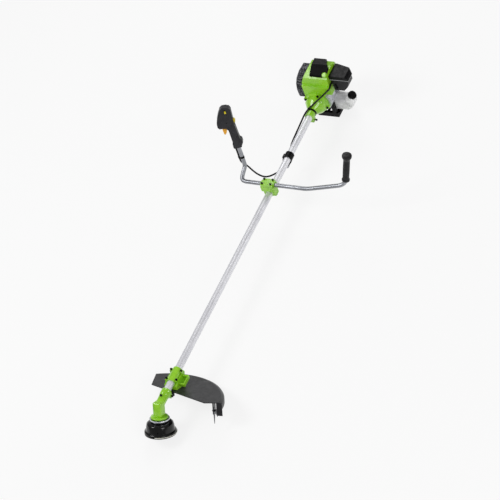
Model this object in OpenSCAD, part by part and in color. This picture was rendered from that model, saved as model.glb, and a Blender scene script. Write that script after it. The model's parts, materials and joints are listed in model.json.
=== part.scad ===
// Petrol string trimmer with a cow-horn handlebar, lying on its trimmer head and engine foot.
// Millimetres, +Z up, +X from the trimmer head towards the engine, +Y to the operator's right.
// Inside the modules the shaft axis is the X axis and the bevel gears' shared apex is x = 0.

/* [Shaft] */
// Outer diameter of the aluminium main tube
tube_d = 28; // [26:0.5:28]
// Wall thickness of the main tube
tube_wall = 1.5; // [1.2:0.1:2]
// Length of the main tube
tube_len = 1490; // [1480:1:1491]
// Diameter of the steel drive shaft
drive_d = 8; // [7:0.5:8]
// Height of the shaft axis above the floor when the trimmer lies down
rest_h = 123.5; // [123.5:0.5:124]

/* [Gearbox and trimmer head] */
// Angle between the main tube and the head's axis
head_angle = 60; // [60:1:60]
// Gear module of the bevel pair
gear_module = 1.5; // [1.4:0.05:1.5]
// Teeth on the bevel pinion
pinion_teeth = 15; // [15:1:15]
// Teeth on the driven bevel gear
gear_teeth = 20; // [20:1:20]
// Diameter of the output spindle
spindle_d = 10; // [8:0.5:10]
// Diameter of the trimmer head's rim
head_d = 121.4; // [118:0.2:121.4]
// Diameter of the cutting line
line_d = 2.4; // [1.6:0.2:3]
// Travel of the bump knob
bump_travel = 5; // [3:0.5:6]

/* [Guard] */
// Outer radius of the guard about the head's axis
guard_r = 245; // [235:1:247]
// Thickness of the guard's plastic
guard_wall = 3; // [2.5:0.1:4]
// Height of the guard's top sheet above the gear apex
guard_top = 31; // [29:0.5:32]

/* [Handlebar] */
// Distance of the handlebar from the gear apex
bar_x = 1082; // [1060:1:1100]
// Height of the handlebar above the shaft axis
bar_h = 38; // [36:0.5:40]
// Diameter of the handlebar tube
bar_d = 17; // [16:0.5:18]
// Wall of the handlebar tube
bar_wall = 1.8; // [1.5:0.1:2.5]
// Length of the plain grip
plain_grip_len = 132; // [110:1:140]
// Diameter of the throttle cable's sheath
cable_d = 7; // [5:0.5:8]

/* [Engine] */
// Piston diameter
piston_d = 40; // [38:0.5:42]
// Piston stroke
stroke = 34; // [30:1:34]
// Diameter of the clutch drum
drum_d = 78; // [76:0.5:78]
// Diameter of the fan case round the flywheel
fan_case_d = 104; // [103:1:106]
// Diameter of the fuel cap
fuel_cap_d = 36; // [30:1:38]

/* [Fits] */
// Radial clearance of a shaft that turns in its bearing
run_gap = 0.05; // [0.02:0.01:0.1]
// Gap between parts that move past each other
free_gap = 0.4; // [0.3:0.05:0.6]

/* [Hidden] */
$fn = 64;
centre_x = 815.94;
centre_y = -96.884;
tube_r = tube_d / 2;
tube_x = 42;
tube_end = tube_x + tube_len;
tilt = 90 - head_angle;
head_r = head_d / 2;
bar_r = bar_d / 2;
cable_r = cable_d / 2;
crank_x = 1655;
throw = stroke / 2;
rod_len = 60;
filler_r = 14;

// Bevel pair: pitch cone half angles for a shaft angle of 120 degrees
shaft_angle = 180 - head_angle;
gear_ratio = gear_teeth / pinion_teeth;
pinion_cone = atan(sin(shaft_angle) / (gear_ratio + cos(shaft_angle)));
gear_cone = shaft_angle - pinion_cone;
cone_dist = gear_module * pinion_teeth / 2 / sin(pinion_cone);
face_width = 5;

// Bends of the handlebar, from the plain grip on the left hand to the throttle on the right
plain_base = [1112, -343, 84];
plain_dir = [0.17, -0.24, 0.956];
throttle_bend = [1137, 119, 74];
throttle_dir = [0.253, 0.136, 0.958];
throttle_base = throttle_bend + 87 * throttle_dir;
bar_path = [
    plain_base + 120 * plain_dir, plain_base + 2 * plain_dir, [1109, -334, 68],
    [1101, -318, 62], [bar_x + 2, -185, 40], [bar_x, -165, bar_h], [bar_x, 105, bar_h],
    [1086, 119, 40], [1098, 123, 47], throttle_bend - [6, 0, 6], throttle_bend + 4 * throttle_dir,
    throttle_base + 60 * throttle_dir
];

// Route of the throttle cable, from the throttle grip to the carburettor
cable_path = [
    [1155.5, 143.5, 152], [1147, 138.3, 118], [1142.5, 136, 101], [1141, 134, 86], [1145, 127, 71],
    [1147.5, 115, 55], [1144.4, 101, 38], [1143.2, 83, 18], [1147, 66, 3], [1153, 54, -4.5],
    [1163.5, 43, -9.5], [1178, 34, -14], [1197, 24, -19.5], [1217, 12, -23.5], [1240, 1, -25.5],
    [1268, -4, -26.5], [1295, 8, -22], [1330, 20, -6], [1370, 20, 0], [1410, 19, 5], [1450, 17, 12],
    [1475, 15, 18], [1495, 12, 21], [1513, 7, 23.3], [1532, -12, 33.5], [1546, -28, 44], [1558, -44, 54],
    [1565, -60, 68], [1568, -72, 79], [1573, -81, 86], [1586, -81.5, 91], [1599, -80.2, 92.5],
    [1615, -80, 93], [1634, -77, 92]
];

// Ignition lead, from the coil up to the plug cap
coil_lead = [
    [1603, 21, 66], [1603, 22, 95], [1604, 21, 114], [1612, 15, 131], [1626, 4, 140], [1637, -7, 145],
    [1648, -9, 148]
];

module placed() {
    translate([-centre_x, -centre_y, rest_h]) children();
}

// Local +Z runs along the shaft towards the engine
module on_shaft(x) {
    translate([x, 0, 0]) rotate([0, 90, 0]) children();
}

// Local +Z runs up the head's axis, away from the ground being cut
module on_head(s) {
    rotate([0, tilt, 0]) translate([0, 0, s]) children();
}

// Local +Z runs along the direction dir
module along(p, dir) {
    translate(p) rotate([0, acos(dir[2] / norm(dir)), atan2(dir[1], dir[0])]) children();
}

module ring(r_out, r_in, h) {
    difference() {
        cylinder(r = r_out, h = h);
        translate([0, 0, -1]) cylinder(r = r_in, h = h + 2);
    }
}

// A rounded box made from two crossed slabs and round vertical edges
module round_box(size, r) {
    translate([r, 0, 0]) cube([size[0] - 2 * r, size[1], size[2]]);
    translate([0, r, 0]) cube([size[0], size[1] - 2 * r, size[2]]);
    for (x = [r, size[0] - r], y = [r, size[1] - r]) translate([x, y, 0]) cylinder(r = r, h = size[2]);
}

// A socket-head screw: head at the origin, shank running along -Z
module screw(shank) {
    difference() {
        cylinder(r = 4.2, h = 5);
        translate([0, 0, 2.5]) cylinder(r = 2.3, h = 3, $fn = 6);
    }
    translate([0, 0, -shank]) cylinder(r = 2.5, h = shank + 0.5);
}

// Places on the bolt circle between the clutch housing and the fan case
module at_housing_bolts(x) {
    for (a = [22 : 90 : 292]) on_shaft(x) rotate([0, 0, a]) translate([48.5, 0, 0]) children();
}

// Places on the bolt circle of the recoil starter
module at_starter_bolts(x) {
    for (a = [45 : 90 : 315]) on_shaft(x) rotate([0, 0, a]) translate([54, 0, 0]) children();
}

// ---- Tube swept along a route, used for the cable ----
function unit(v) = v / norm(v);
function tangent(p, i) = unit(p[min(i + 1, len(p) - 1)] - p[max(i - 1, 0)]);
function side(t) = unit(cross(t, abs(t[2]) > 0.9 ? [1, 0, 0] : [0, 0, 1]));
function ring_points(p, i, r, n) =
    let (t = tangent(p, i), u = side(t), v = cross(t, u))
    [for (k = [0 : n - 1]) p[i] + r * (cos(360 * k / n) * u + sin(360 * k / n) * v)];

module swept_tube(p, r, n = 8) {
    rings = [for (i = [0 : len(p) - 1]) each ring_points(p, i, r, n)];
    last = (len(p) - 1) * n;
    walls = [for (i = [0 : len(p) - 2], k = [0 : n - 1])
        [i * n + k, (i + 1) * n + k, (i + 1) * n + (k + 1) % n, i * n + (k + 1) % n]];
    first_cap = [[for (k = [0 : n - 1]) k]];
    last_cap = [[for (k = [n - 1 : -1 : 0]) last + k]];
    polyhedron(points = rings, faces = concat(walls, first_cap, last_cap));
}

// A hollow round bar along the points p
module swept_pipe(p, r_out, r_in, n) {
    outer = [for (i = [0 : len(p) - 1]) each ring_points(p, i, r_out, n)];
    inner = [for (i = [0 : len(p) - 1]) each ring_points(p, i, r_in, n)];
    half = len(p) * n;
    last = half - n;
    walls = [for (i = [0 : len(p) - 2], k = [0 : n - 1])
        [i * n + k, (i + 1) * n + k, (i + 1) * n + (k + 1) % n, i * n + (k + 1) % n]];
    bore = [for (f = walls) [f[3] + half, f[2] + half, f[1] + half, f[0] + half]];
    first_rim = [for (k = [0 : n - 1]) [k, (k + 1) % n, (k + 1) % n + half, k + half]];
    last_rim = [for (k = [0 : n - 1])
        [last + (k + 1) % n, last + k, last + k + half, last + (k + 1) % n + half]];
    polyhedron(points = concat(outer, inner), faces = concat(walls, bore, first_rim, last_rim));
}

// ---- Gearbox ----
// A bevel gear with its apex at the origin and its body along +Z
module bevel_teeth(teeth, cone, phase) {
    far = cone_dist;
    near = cone_dist - face_width;
    tip = 0.55 * gear_module;
    root = 0.95 * gear_module;
    gap_half = 0.30 * 360 / teeth;
    difference() {
        rotate_extrude() polygon([
            [0, near * cos(cone) + root * sin(cone)],
            [near * sin(cone) + tip * cos(cone), near * cos(cone) - tip * sin(cone)],
            [far * sin(cone) + tip * cos(cone), far * cos(cone) - tip * sin(cone)],
            [far * sin(cone) - 2.2 * root * cos(cone), far * cos(cone) + 2.2 * root * sin(cone)],
            [0, far * cos(cone) + 2.2 * root * sin(cone)]
        ]);
        for (k = [0 : teeth - 1]) rotate([0, 0, phase + 360 * k / teeth])
            tooth_gap(cone, far * sin(cone) * tan(gap_half), root, tip);
    }
}

// The wedge between two teeth, shrinking towards the apex
module tooth_gap(cone, half, root, tip) {
    steps = 3;
    rotate([0, cone, 0]) for (k = [0 : steps - 1]) {
        a = cone_dist - face_width - 1 + k * (face_width + 2) / steps;
        w = half * (a + (face_width + 2) / steps / 2) / cone_dist;
        translate([-root, 0, a]) linear_extrude(height = (face_width + 2) / steps + 0.01)
            polygon([[0, -w * 0.62], [0, w * 0.62], [root + 2 * tip, w * 1.75], [root + 2 * tip, -w * 1.75]]);
    }
}

module gearbox_housing() {
    color("#7cb82f") placed() difference() {
        union() {
            on_head(-44) cylinder(r = 33, h = 6);
            on_head(-38) cylinder(r1 = 33, r2 = 21.5, h = 14);
            on_head(-30) cylinder(r = 21.5, h = 40);
            on_head(10) cylinder(r1 = 21.5, r2 = 15, h = 7);
            on_head(17) cylinder(r1 = 15, r2 = 9, h = 2.5);
            on_shaft(6) cylinder(r = 18.5, h = 68);
            on_shaft(50) cylinder(r = 19.5, h = 24);
            translate([60, -16, -28]) cube([14, 32, 16]);
        }
        on_head(-45) cylinder(r = 16, h = 16);
        on_head(-30) cylinder(r = 9, h = 9);
        on_head(-22.5) cylinder(r = 14, h = 10);
        on_head(-13) cylinder(r = 18, h = 23);
        on_shaft(0) cylinder(r = 12.9, h = 17);
        on_shaft(16) cylinder(r = 13, h = 17);
        on_shaft(32) cylinder(r = 9, h = 12);
        on_shaft(tube_x) cylinder(r = tube_r, h = 40);
        translate([56, -1, -40]) cube([30, 2, 32]);
        translate([67, 20, -21]) rotate([90, 0, 0]) cylinder(r = 2.5, h = 45);
        translate([36, 0, 10]) cylinder(r = 2.5, h = 15);
    }
}

// A sealed ball bearing: two races with a dust shield on each side
module bearing(r_out, r_in, h) {
    ring(r_out, r_out - 2.5, h);
    ring(r_in + 2, r_in, h);
    for (z = [0.6, h - 1.4]) translate([0, 0, z]) ring(r_out - 2, r_in + 1.5, 0.8);
}

module ball_bearings() {
    color("#b8bcc0") placed() {
        for (x = [16.5, 25]) on_shaft(x) bearing(13, 6 + run_gap, 7.5);
        on_head(-22) bearing(14, spindle_d / 2 + run_gap, 8);
        on_head(-40) bearing(16, spindle_d / 2 + run_gap, 9);
        on_shaft(tube_end + 1) bearing(15, 7 + run_gap, 8);
    }
}

module bevel_pinion() {
    color("#8d9196") placed() difference() {
        union() {
            on_shaft(0) bevel_teeth(pinion_teeth, pinion_cone, 0);
            on_shaft(12) cylinder(r = 7.5, h = 4);
            on_shaft(15) cylinder(r = 6, h = 22);
        }
        on_shaft(30) cylinder(r = drive_d / 2, h = 10);
    }
}

module output_shaft() {
    color("#8d9196") placed() {
        on_head(0) mirror([0, 0, 1]) difference() {
            bevel_teeth(gear_teeth, gear_cone, 180 / gear_teeth);
            translate([0, 0, -1]) cylinder(r = spindle_d / 2, h = 20);
        }
        on_head(-13.9) ring(8, spindle_d / 2, 6.5);
        on_head(-86) cylinder(r = spindle_d / 2, h = 82.6);
    }
}

module flange_plate() {
    color("#c9ccd0") placed() difference() {
        union() {
            on_head(-50) cylinder(r = 38, h = 4);
            on_head(-58) cylinder(r1 = 35, r2 = 38, h = 8);
            on_head(-47) cylinder(r = 10, h = 6);
        }
        on_head(-90) cylinder(r = spindle_d / 2, h = 60);
        on_head(-59) cylinder(r = 32, h = 7);
        for (k = [0 : 2]) on_head(-60) rotate([0, 0, 60 + 120 * k]) translate([20, 0, 0])
            cylinder(r = 3, h = 20);
    }
}

// ---- Trimmer head ----
module head_housing() {
    color("#232325") placed() difference() {
        on_head(0) rotate_extrude() polygon([
            [spindle_d / 2, -52], [22, -52], [24, -59], [44, -61], [50, -66], [52.5, -76], [54.5, -92],
            [60, -96], [head_r, -98], [head_r, -102], [56, -102], [56, -99], [51.5, -94], [49.5, -77],
            [47.5, -69], [42, -64.5], [11, -64.5], [9, -66.5], [9, -93], [spindle_d / 2, -93]
        ]);
        for (a = [20, 200]) on_head(-86) rotate([0, 0, a]) translate([46, 0, 0]) rotate([0, 90, 0])
            cylinder(r = 2.2, h = 20);
    }
}

module head_cover() {
    color("#2a2a2c") placed() difference() {
        on_head(0) rotate_extrude() polygon([
            [27, -110], [45, -110], [52, -108.8], [head_r - 0.6, -107.9], [head_r, -107.1], [head_r, -102],
            [56, -102], [56, -99.4], [50.8, -99.4], [50.8, -104.5], [45, -106], [27, -106]
        ]);
        for (k = [0 : 11]) on_head(-112) rotate([0, 0, 15 + 30 * k]) translate([39, 0, 0])
            cylinder(r = 2.5, h = 12);
    }
}

module line_spool() {
    color("#d9dadb") placed() on_head(0) rotate_extrude() polygon([
        [9 + free_gap, -72.5], [12, -70], [41.5, -70], [41.5, -72.5], [17, -72.5], [17, -84],
        [43, -84], [43, -86.5],
        [17, -86.5], [17, -98], [46, -98], [46, -100.5], [9 + free_gap, -100.5]
    ]);
}

module bump_knob() {
    color("#3a3a3d") placed() on_head(0) rotate_extrude() polygon([
        [0, -126], [14, -126], [21, -123.5], [25, -118], [26, -111], [26, -105.6], [34, -105.6], [34, -100.5],
        [12, -100.5], [12, -109], [0, -109]
    ]);
}

module cutting_line() {
    color("#e8e6dc") placed() on_head(-102) rotate([0, 0, 190])
        rotate_extrude(angle = 120) translate([head_r + line_d / 2 + 0.1, 0])
            circle(r = line_d / 2, $fn = 24);
}

// ---- Guard ----
// Everything beyond a straight line through (px, py), to its left when looking along the angle
module half_plane(px, py, angle) {
    translate([px, py, -100]) rotate([0, 0, angle]) translate([-400, 0, 0]) cube([900, 400, 220]);
}

module guard() {
    s = guard_top;
    r = guard_r;
    w = guard_wall;
    color("#2c2c2e") placed() difference() {
        union() {
            on_head(0) difference() {
                rotate([0, 0, -82]) rotate_extrude(angle = 130) polygon([
                    [45, s], [r - 12, s], [r - 3.5, s - 4], [r, s - 11], [r, 4], [r - w, 4],
                    [r - w, s - 12], [r - w - 3, s - w - 3], [r - 13, s - w], [45, s - w]
                ]);
                half_plane(80, 0, 75.2);
                half_plane(33, -177, 112.5);
                half_plane(104, 92, 21.2);
            }
            on_head(0) rotate([0, 0, -76]) translate([222, 0, -24]) cube([r - 223, w, s - w + 24.5]);
            on_head(0) rotate([0, 0, -75]) translate([206, 1, -22]) cube([w, 34, s + 19.5]);
            on_head(s) translate([92, -27, -1]) cube([62, 54, 1.6]);
            on_head(8) translate([84, -16, 0]) cube([6, 32, s - 9]);
        }
        for (x = [103, 143], y = [-19, 19]) on_head(0) translate([x, y, 0]) cylinder(r = 2.7, h = 60);
        on_head(-10) rotate([0, 0, -75]) translate([0, 10, 0]) rotate([0, 90, 0]) cylinder(r = 2.6, h = 300);
        on_shaft(50) cylinder(r = tube_r + free_gap, h = 90);
    }
}

module guard_bracket() {
    wing = 50;
    color("#7cb82f") placed() difference() {
        union() {
            on_shaft(112) cylinder(r = 18.5, h = 63);
            translate([112, -26, -8]) cube([63, 52, 8]);
            translate([118, -wing, -22]) cube([45, wing, 14]);
            intersection() {
                on_head(guard_top + 0.6) translate([92, -27, 0]) cube([62, 54, 70]);
                translate([60, -40, -90]) cube([160, 80, 85]);
            }
        }
        on_shaft(90) cylinder(r = tube_r, h = 100);
        translate([90, -60, -1]) cube([100, 120, 1.5]);
        for (x = [122, 165], y = [-22, 22]) translate([x, y, -9]) cylinder(r = 2.5, h = 20);
        translate([124, -wing + 4, -20]) cube([33, 22, 20]);
        for (x = [103, 143], y = [-19, 19]) on_head(0) translate([x, y, 0]) cylinder(r = 2.5, h = 45);
    }
    color("#7cb82f") placed() for (x = [122, 165]) difference() {
        translate([x - 7, -26, 0.5]) cube([14, 52, 7]);
        on_shaft(100) cylinder(r = 18.5, h = 90);
        for (y = [-22, 22]) translate([x, y, -1]) cylinder(r = 2.5, h = 10);
    }
}

module line_knife() {
    color("#5d6166") placed() on_head(0) rotate([0, 0, -75]) translate([209 + 0.05, 0, 0]) rotate([90, 0, 90])
        difference() {
            linear_extrude(height = 2) polygon([
                [2, 4], [9, 4], [14, -16], [36, -16], [46, -52], [28, -28], [14, -28], [4, -60], [-2, -10]
            ]);
            translate([10, -10, -1]) cylinder(r = 2.6, h = 4);
        }
}

// Screws of the gearbox, the guard, the clamps and the engine, all of the same size
module m5_screws() {
    color("#3a3d40") placed() {
        translate([67, -16, -21]) rotate([90, 0, 0]) screw(30);
        translate([36, 0, 19]) screw(5);
        for (x = [122, 165], y = [-22, 22]) translate([x, y, 7.5]) screw(14);
        for (x = [103, 143], y = [-19, 19]) on_head(guard_top - guard_wall) translate([x, y, 0])
            mirror([0, 0, 1]) screw(12);
        on_head(-10) rotate([0, 0, -75]) translate([211.05, 10, 0]) rotate([0, 90, 0]) screw(9);
        for (x = [-12, 12], y = [-19, 19]) translate([bar_x + x, y, bar_h + 14]) screw(30);
        for (y = [-20, 20]) translate([bar_x, y, -13]) mirror([0, 0, 1]) screw(12);
        translate([1267, 25, -9]) rotate([-90, 0, 0]) screw(10);
        translate([1498, -19, -24]) rotate([90, 0, 0]) screw(20);
        at_housing_bolts(1566) mirror([0, 0, 1]) screw(16);
        at_starter_bolts(1720) screw(12);
    }
}

// ---- Shaft ----
module main_tube() {
    color("#c6c9cc") placed() on_shaft(tube_x) ring(tube_r, tube_r - tube_wall, tube_len);
}

module drive_shaft() {
    color("#9aa0a5") placed() on_shaft(30.2) cylinder(r = drive_d / 2, h = tube_end - 20);
}

module shaft_bushes() {
    bushes = 6;
    color("#b3924b") placed() for (k = [0 : bushes - 1])
        on_shaft(tube_x + 60 + k * (tube_len - 150) / (bushes - 1)) difference() {
            cylinder(r = tube_r - tube_wall, h = 30);
            translate([0, 0, -1]) cylinder(r = drive_d / 2 + run_gap, h = 32);
            for (a = [0 : 60 : 300]) rotate([0, 0, a]) translate([10.5, 0, -1]) cylinder(r = 2.2, h = 32);
        }
}

module hanger_clamp() {
    color("#1f1f21") placed() difference() {
        union() {
            on_shaft(1253) cylinder(r = 18.5, h = 28);
            translate([1257, 13, -24]) cube([20, 12, 28]);
            translate([1258, 13, -24]) cube([18, 17, 9.5]);
            for (y = [14, 26]) translate([1258, y, -37]) cube([18, 4, 14]);
        }
        on_shaft(1250) cylinder(r = tube_r, h = 40);
        translate([1250, 17.4, -13]) cube([40, 1.6, 20]);
        translate([1267, 8, -9]) rotate([-90, 0, 0]) cylinder(r = 2.5, h = 30);
        translate([1267, 12, -31]) rotate([-90, 0, 0]) cylinder(r = 2.6, h = 20);
    }
}

// Carrying ring for the harness hook, on a cross pin between the clamp's ears
module hanger_ring() {
    color("#b5b9bd") placed() difference() {
        union() {
            translate([1267, 14, -31]) rotate([-90, 0, 0]) cylinder(r = 2.6 - run_gap, h = 16);
            translate([1267, 19, -31]) rotate([-90, 0, 0]) cylinder(r = 6, h = 6);
            translate([1267, 19, -50]) rotate([-90, 0, 0]) cylinder(r = 15, h = 6);
        }
        translate([1267, 12, -50]) rotate([-90, 0, 0]) cylinder(r = 9.5, h = 20);
    }
}

// ---- Handlebar ----
module clamp_base() {
    color("#7cb82f") placed() difference() {
        union() {
            on_shaft(bar_x - 13) cylinder(r = 18.5, h = 28);
            translate([bar_x - 13, -26, -13]) cube([26, 52, 13]);
            translate([bar_x - 13, -26, 0]) cube([26, 52, 14]);
            translate([bar_x - 18, -30, 12]) cube([36, 60, bar_h - 12.5]);
        }
        on_shaft(bar_x - 40) cylinder(r = tube_r, h = 80);
        translate([bar_x, 45, bar_h]) rotate([90, 0, 0]) cylinder(r = bar_r, h = 90);
        translate([bar_x - 40, -40, -8]) cube([80, 80, 1.5]);
        for (x = [-12, 12], y = [-19, 19]) translate([bar_x + x, y, 20]) cylinder(r = 2.5, h = 30);
        for (y = [-20, 20]) translate([bar_x, y, -30]) cylinder(r = 2.5, h = 30);
    }
}

module clamp_cap() {
    color("#7cb82f") placed() difference() {
        union() {
            translate([bar_x - 18, -26, bar_h + 0.5]) cube([36, 52, 13.5]);
            translate([bar_x - 9, -30, bar_h + 0.5]) cube([18, 60, 11]);
            for (x = [-12, 12], y = [-19, 19]) translate([bar_x + x, y, bar_h + 0.5])
                cylinder(r = 7, h = 13.5);
        }
        translate([bar_x, 45, bar_h]) rotate([90, 0, 0]) cylinder(r = bar_r, h = 90);
        for (x = [-12, 12], y = [-19, 19]) translate([bar_x + x, y, bar_h - 5]) cylinder(r = 2.5, h = 30);
    }
}

module handlebar() {
    color("#b9bcbf") placed() swept_pipe(bar_path, bar_r, bar_r - bar_wall, 16);
}

module plain_grip() {
    h = plain_grip_len;
    color("#2b2b2d") placed() along(plain_base, plain_dir) difference() {
        rotate_extrude() polygon([
            [0, 0], [16, 0], [16, 8], [14, 12], [13, 30], [13.5, 60], [13, 95], [14.5, h - 20],
            [19, h - 13], [19.5, h - 4], [18, h], [0, h]
        ]);
        translate([0, 0, -1]) cylinder(r = bar_r, h = 121);
    }
}

// Local frame of the throttle grip: +Z up the grip, +X forwards to the trigger
module on_throttle() {
    along(throttle_base, throttle_dir) rotate([0, 0, 90]) children();
}

// Side outline of the throttle grip
module throttle_outline() {
    polygon([
        [-15, 0], [15, 0], [18, 6], [17, 22], [14, 32], [14, 84], [20, 94], [32, 98], [46, 100], [52, 108],
        [50, 126], [45, 140], [35, 160], [22, 180], [12, 186], [-4, 184], [-16, 178], [-20, 168], [-18, 145],
        [-16, 120], [-17, 56], [-18, 38], [-25, 30], [-25, 18], [-18, 8]
    ]);
}

module throttle_half(sign) {
    half_w = 15;
    difference() {
        rotate([90, 0, 0]) mirror([0, 0, sign > 0 ? 1 : 0])
            translate([0, 0, 0.1]) linear_extrude(height = half_w) throttle_outline();
        translate([0, 0, -20]) cylinder(r = bar_r, h = 80.5);
        translate([-9, -7, 64]) cube([16, 14, 106]);
        translate([-30, -5, 96]) cube([24, 10, 34]);
        translate([7, -7, 58]) cube([40, 14, 86]);
        translate([12, 0, 118]) rotate([90, 0, 0]) cylinder(r = 2, h = 60, center = true);
        translate([-4, 0, 102]) rotate([90, 0, 0]) cylinder(r = 1.5, h = 60, center = true);
        translate([0, 7, 158]) cube([7, 20, 17]);
        translate([7, -3, -1]) cube([20, 6, 90]);
        for (p = [[0, 152], [30, 158], [-11, 48]]) translate([p[0], 0, p[1]]) rotate([90, 0, 0])
            cylinder(r = 1.4, h = 60, center = true);
    }
}

module throttle_grip_left() {
    color("#333336") placed() on_throttle() throttle_half(1);
}

module throttle_grip_right() {
    color("#2f2f32") placed() on_throttle() throttle_half(-1);
}

module trigger() {
    color("#f0a830") placed() on_throttle() difference() {
        translate([0, 6, 0]) rotate([90, 0, 0]) linear_extrude(height = 12) polygon([
            [8, 122], [8, 114], [12, 111], [16, 104], [19, 90], [24, 76], [29, 69], [33, 67], [36, 70],
            [37, 82], [37, 98], [38, 112], [30, 122], [16, 124]
        ]);
        translate([12, 0, 118]) rotate([90, 0, 0]) cylinder(r = 2 + run_gap, h = 20, center = true);
    }
    color("#8d9196") placed() on_throttle() translate([12, 0, 118]) rotate([90, 0, 0])
        cylinder(r = 2 - run_gap, h = 13, center = true);
}

module lockout_lever() {
    color("#e9c22e") placed() on_throttle() difference() {
        translate([0, 4.5, 0]) rotate([90, 0, 0]) linear_extrude(height = 9) polygon([
            [-7, 98], [-1, 98], [0, 104], [-6, 107], [-14, 123], [-19, 126], [-24, 122], [-22, 111],
            [-13, 102]
        ]);
        translate([-4, 0, 102]) rotate([90, 0, 0]) cylinder(r = 1.5 + run_gap, h = 20, center = true);
    }
    color("#8d9196") placed() on_throttle() translate([-4, 0, 102]) rotate([90, 0, 0])
        cylinder(r = 1.5 - run_gap, h = 9.6, center = true);
}

module stop_switch() {
    color("#e3d24a") placed() on_throttle() {
        translate([free_gap, 8, 160]) cube([7 - 2 * free_gap, 10, 9]);
        for (z = [161.5, 164, 166.5]) translate([free_gap, 17.8, z]) cube([7 - 2 * free_gap, 1, 1.2]);
    }
}

module throttle_cable() {
    color("#1b1b1d") placed() swept_tube(cable_path, cable_r, 8);
}

// Two ties that hold the cable, one on the handlebar and one on the tube by the engine
module cable_clips() {
    band = 0.9;
    color("#151517") placed() {
        along(throttle_bend + 37 * throttle_dir, throttle_dir) translate([0, 0, -4])
            ring(bar_r + band, bar_r, 8);
        along([1144.8, 137.2, 109.5], [0.254, 0.13, 0.96]) translate([0, 0, -4])
            ring(cable_r + band, cable_r, 8);
        on_shaft(1509) ring(20.4, 19, 8);
        along([1513, 7, 23.3], [0.81, -0.52, 0.27]) translate([0, 0, -2])
            ring(cable_r + 0.3 + band, cable_r + 0.3, 4);
    }
}

// ---- Clutch and flywheel ----
module clutch_housing() {
    color("#7cb82f") placed() difference() {
        union() {
            on_shaft(1486) rotate_extrude() polygon([
                [0, 0], [19, 0], [19, 32], [31, 47], [43, 64], [43, 80], [51.5, 86], [51.5, 93], [0, 93]
            ]);
            at_housing_bolts(1566) cylinder(r = 8, h = 13);
            translate([1488, -13, -31]) cube([20, 26, 16]);
        }
        on_shaft(1486) rotate_extrude() polygon([
            [0, -1], [tube_r, -1], [tube_r, 46], [10, 46], [10, 47], [15, 47], [15, 60], [32, 60],
            [40.2, 66], [40.2, 94], [0, 94]
        ]);
        translate([1484, -1, -40]) cube([30, 2, 32]);
        translate([1498, 20, -24]) rotate([90, 0, 0]) cylinder(r = 2.5, h = 45);
        at_housing_bolts(1560) cylinder(r = 2.5, h = 30);
    }
}

module clutch_drum() {
    color("#6f7378") placed() difference() {
        union() {
            on_shaft(1553) cylinder(r = drum_d / 2, h = 24);
            on_shaft(1533.5) cylinder(r = 7, h = 20);
            on_shaft(1543.5) cylinder(r = 9.6, h = 10);
        }
        on_shaft(1556) cylinder(r = drum_d / 2 - 2.5, h = 30);
        on_shaft(1530) cylinder(r = drive_d / 2, h = tube_end + 10.2 - 1530);
        for (a = [0 : 60 : 300]) on_shaft(1550) rotate([0, 0, a]) translate([24, 0, 0])
            cylinder(r = 4, h = 10);
    }
}

module clutch_shoes() {
    color("#8a8178") placed() on_shaft(1562) {
        for (a = [0, 180]) rotate([0, 0, a]) difference() {
            cylinder(r = drum_d / 2 - 4, h = 14);
            translate([0, 0, -1]) cylinder(r = 15, h = 16);
            translate([-60, -118, -1]) cube([120, 120, 16]);
            translate([26, 12, -1]) cylinder(r = 3.5, h = 16);
        }
        translate([0, 0, 6]) ring(14.5, 12.5, 3);
    }
}

module flywheel() {
    blades = 14;
    rim = fan_case_d / 2 - 8;
    color("#a9adb1") placed() on_shaft(1590) difference() {
        union() {
            cylinder(r = 30, h = 22);
            cylinder(r = rim, h = 3);
            for (k = [0 : blades - 1]) rotate([0, 0, k * 360 / blades]) translate([26, -1.2, 1])
                cube([rim - 26, 2.4, 24]);
            translate([0, 0, -12]) cylinder(r = 14, h = 13);
            for (a = [0, 180]) rotate([0, 0, a]) translate([26, 12, -26]) cylinder(r = 3.4, h = 27);
        }
        translate([0, 0, -14]) cylinder(r = 7, h = 50);
    }
}

// Outline of the fan case: a round case with a scroll that opens on the left-hand side
module scroll(x, inset, h) {
    on_shaft(x) cylinder(r = fan_case_d / 2 - inset, h = h);
    translate([0, -12, 6]) on_shaft(x) cylinder(r = fan_case_d / 2 - inset, h = h);
}

module fan_case() {
    color("#b3b6b9") placed() difference() {
        union() {
            scroll(1579, 0, 49);
            translate([1588, -58, 20]) cube([40, 98, 78]);
        }
        scroll(1584, 4, 60);
        on_shaft(1570) cylinder(r = 44, h = 20);
        translate([1592, -54, 20]) cube([50, 90, 90]);
        at_housing_bolts(1570) cylinder(r = 2.5, h = 30);
    }
}

// ---- Engine block ----
module crankcase() {
    color("#a6a9ac") placed() difference() {
        union() {
            on_shaft(1629) cylinder(r = 44, h = 60);
            on_shaft(1628) cylinder(r = 51, h = 4);
            on_shaft(1689) cylinder(r = 62, h = 2);
            translate([1633, -30, 0]) cube([52, 60, 45]);
            translate([1648, -30, -52]) cube([24, 60, 20]);
            for (a = [60, 120]) on_shaft(1630) rotate([0, 0, a]) translate([44, 0, 0])
                cylinder(r = 5, h = 55);
        }
        on_shaft(crank_x - 20) cylinder(r = 31, h = 40);
        on_shaft(1620) cylinder(r = 8, h = 90);
        translate([1626, -40, 45]) cube([7, 80, 10]);
        translate([crank_x, 0, 10]) cylinder(r = piston_d / 2 + 0.3, h = 40);
    }
}

module crankshaft() {
    color("#8d9196") placed() {
        on_shaft(1577) cylinder(r = 7, h = 51);
        on_shaft(1627) cylinder(r = 8 - run_gap, h = 9);
        for (x = [crank_x - 19, crank_x + 8]) on_shaft(x) cylinder(r = 30, h = 11);
        on_shaft(crank_x + 19) cylinder(r = 8 - run_gap, h = 20);
        on_shaft(1694) difference() {
            cylinder(r = 18, h = 6);
            translate([0, 0, 2]) cylinder(r = 15, h = 6);
        }
    }
}

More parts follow.
